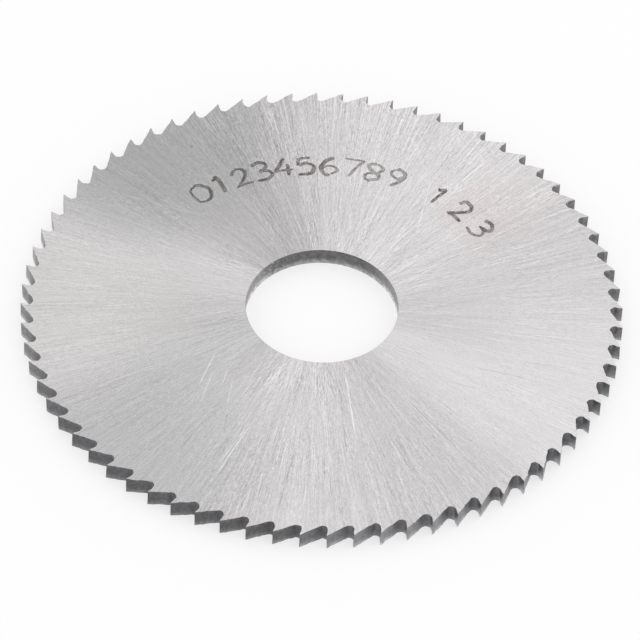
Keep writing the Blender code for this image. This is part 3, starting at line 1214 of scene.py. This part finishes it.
def number_cutter_mesh(sizes, numbers):
    """Returns the cutters of all the digits as one mesh."""
    hand = random.Random(numbers.seed)
    cage = bmesh.new()
    uv_layer = cage.loops.layers.uv.new(STROKE_UV)
    groups = (
        (numbers.long_group, numbers.long_group_start, numbers.long_group_step),
        (numbers.short_group, numbers.short_group_start, numbers.short_group_step),
    )
    for digits, start, step in groups:
        for place, digit in enumerate(digits):
            direction = start + step * place + hand.uniform(-MOST_TURN, MOST_TURN)
            paths = digit_paths(numbers, digit, direction, hand)
            again = [path for path in paths if hand.random() < numbers.second_pass]
            for order, path in enumerate(paths + again):
                stray = Vector((hand.gauss(0.0, STROKE_SHIFT), hand.gauss(0.0, STROKE_SHIFT)))
                width = numbers.stroke_width * hand.uniform(LEAST_WIDTH, MOST_WIDTH)
                depth = numbers.stroke_depth * (1.0 + DEEPER_EACH * order)
                moved = [point + stray * numbers.hand_wander for point in path]
                add_stroke_cutter(cage, uv_layer, sizes, moved, width, depth)
    bmesh.ops.recalc_face_normals(cage, faces=cage.faces)
    mesh = bpy.data.meshes.new("number_cutter")
    cage.to_mesh(mesh)
    cage.free()
    return mesh


class SAW_OT_etched_numbers(Operator):
    """Cut the etched numbers into the upper face and fix the body to the frame"""

    bl_idname = "saw.etched_numbers"
    bl_label = "Etched Numbers"

    def execute(self, context):
        scene = context.scene
        body = bpy.data.objects[BODY_NAME]
        cutter = add_object(context.collection, "number_cutter",
                            number_cutter_mesh(scene.saw_sizes, scene.saw_numbers))
        cut =body.modifiers.new("Numbers", "BOOLEAN")
        cut.operation = "DIFFERENCE"
        cut.solver = "EXACT"
        cut.use_self = True
        cut.object = cutter
        mesh = plain_mesh(body, BODY_NAME)
        body.modifiers.remove(cut)
        bpy.data.objects.remove(cutter, do_unlink=True)
        close_and_face_out(mesh)
        mark_sharp_edges(mesh)
        body.data = mesh
        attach(body, "root")
        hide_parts("saw_blade")
        return {"FINISHED"}


# The studio

WHITE = (1.0, 1.0, 1.0, 1.0)

# Strength of the world's light where it is scattered, and where it is seen
SCATTERED_SKY, SEEN_SKY = 0.85, 1.0

# Lamps: name, place and side in metres, power in watts
LAMPS = (
    ("overhead_lamp", (0.05, 0.05, 0.60), 0.6, 0.3),
    ("side_lamp", (0.30, 0.32, 0.55), 0.4, 0.12),
)

# The camera's sensor in millimetres, and the nearest and furthest that it sees in metres
SENSOR_WIDTH = 36.0
NEAREST, FURTHEST = 0.01, 20.0


def seen_directly(build):
    """Returns 1 for what the camera sees, itself or in a reflection, and 0 for scattered light."""
    path = build.add("ShaderNodeLightPath").outputs
    seen = build.maths("ADD", path["Is Camera Ray"], path["Is Glossy Ray"])
    return build.maths("ADD", seen, path["Is Transmission Ray"], clamp=True)


def studio_world():
    """Returns an even pale world, white to the camera and in reflections."""
    world = bpy.data.worlds.new("studio")
    world.use_nodes = True
    build = NodeBuilder(world.node_tree)
    background = world.node_tree.nodes["Background"]
    seen = seen_directly(build)
    strength = build.remap(seen, 0.0, 1.0, SCATTERED_SKY, SEEN_SKY)
    build.feed(background.inputs["Strength"], strength)
    background.inputs["Color"].default_value = WHITE
    return world


def floor_material(settings):
    """Matt floor that shows white: a part of the white is its own, so that shadows stay pale."""
    material, build, shader, _ = new_material("studio_floor")
    shader.inputs["Base Color"].default_value = (*settings.floor_colour, 1.0)
    shader.inputs["Roughness"].default_value = 1.0
    shader.inputs["Specular IOR Level"].default_value = 0.0
    glow = build.times(seen_directly(build), settings.floor_glow)
    build.feed(shader.inputs["Emission Strength"], glow)
    shader.inputs["Emission Color"].default_value = WHITE
    return material


def studio_floor(settings, collection):
    """Returns the floor, a hair below the blade."""
    mesh = bpy.data.meshes.new("studio_floor")
    half = settings.floor_size / 2
    corners = [(-half, -half), (half, -half), (half, half), (-half, half)]
    mesh.from_pydata([(x, y, -settings.floor_gap) for x, y in corners], [], [(0, 1, 2, 3)])
    mesh.materials.append(floor_material(settings))
    return add_object(collection, "studio_floor", mesh)


def add_lamp(collection, name, place, size, power):
    """Adds a square soft lamp that faces the blade."""
    light = bpy.data.lights.new(name, "AREA")
    light.shape = "SQUARE"
    light.size = size
    light.energy = power
    facing = Vector(place).to_track_quat("Z", "Y").to_matrix().to_4x4()
    lamp = add_object(collection, name, light)
    lamp.matrix_world = Matrix.Translation(place) @ facing


def photograph_camera(settings, collection):
    """Returns the camera at the photograph's angle."""
    camera_data = bpy.data.cameras.new("camera")
    camera_data.sensor_width = SENSOR_WIDTH
    camera_data.sensor_fit = "HORIZONTAL"
    camera_data.lens = settings.focal_length
    camera_data.clip_start = NEAREST
    camera_data.clip_end = FURTHEST
    azimuth, elevation = settings.camera_azimuth, settings.camera_elevation
    flat = math.cos(elevation)
    back = Vector((flat * math.cos(azimuth), flat * math.sin(azimuth), math.sin(elevation)))
    right = Vector((0.0, 0.0, 1.0)).cross(back).normalized()
    level = Matrix((right, back.cross(right), back)).transposed()
    turned = level @ Matrix.Rotation(settings.camera_roll, 3, "Z")
    place = Vector(settings.camera_target) + back * settings.camera_distance
    camera = add_object(collection, "camera", camera_data)
    camera.matrix_world = Matrix.Translation(place) @ turned.to_4x4()
    return camera


class SAW_OT_studio(Operator):
    """Set up the floor, the light and the camera"""

    bl_idname = "saw.studio"
    bl_label = "Studio"

    def execute(self, context):
        scene, settings = context.scene, context.scene.saw_studio
        studio_floor(settings, context.collection)
        scene.world = studio_world()
        scene.view_settings.view_transform = "Standard"
        scene.camera = photograph_camera(settings, context.collection)
        for lamp in LAMPS:
            add_lamp(context.collection, *lamp)
        return {"FINISHED"}


class SAW_PT_sidebar(Panel):
    """Sizes, colours and steps of the saw blade"""

    bl_idname = "SAW_PT_sidebar"
    bl_label = "Saw Blade"
    bl_space_type = "VIEW_3D"
    bl_region_type = "UI"
    bl_category = "Saw Blade"

    def draw(self, context):
        scene = context.scene
        for settings in (scene.saw_sizes, scene.saw_numbers, scene.saw_colours, scene.saw_studio):
            box = self.layout.box()
            for name in settings.bl_rna.properties.keys():
                if name not in ("rna_type", "name"):
                    box.prop(settings, name)
        for step in STEPS:
            self.layout.operator(step.bl_idname)


STEPS = (SAW_OT_toothed_body, SAW_OT_etched_numbers, SAW_OT_studio)
SETTINGS = {
    "saw_sizes": BladeSizes,
    "saw_numbers": NumberSizes,
    "saw_colours": SteelColours,
    "saw_studio": StudioSettings,
}
CLASSES = (*SETTINGS.values(), *STEPS, SAW_PT_sidebar)


def register():
    for item in CLASSES:
        bpy.utils.register_class(item)
    for name, group in SETTINGS.items():
        setattr(bpy.types.Scene, name, PointerProperty(type=group))


def unregister():
    for name in SETTINGS:
        delattr(bpy.types.Scene, name)
    for item in reversed(CLASSES):
        bpy.utils.unregister_class(item)


def main():
    register()
    bpy.ops.saw.toothed_body()
    bpy.ops.saw.etched_numbers()
    bpy.ops.saw.studio()


if __name__ == "__main__":
    main()
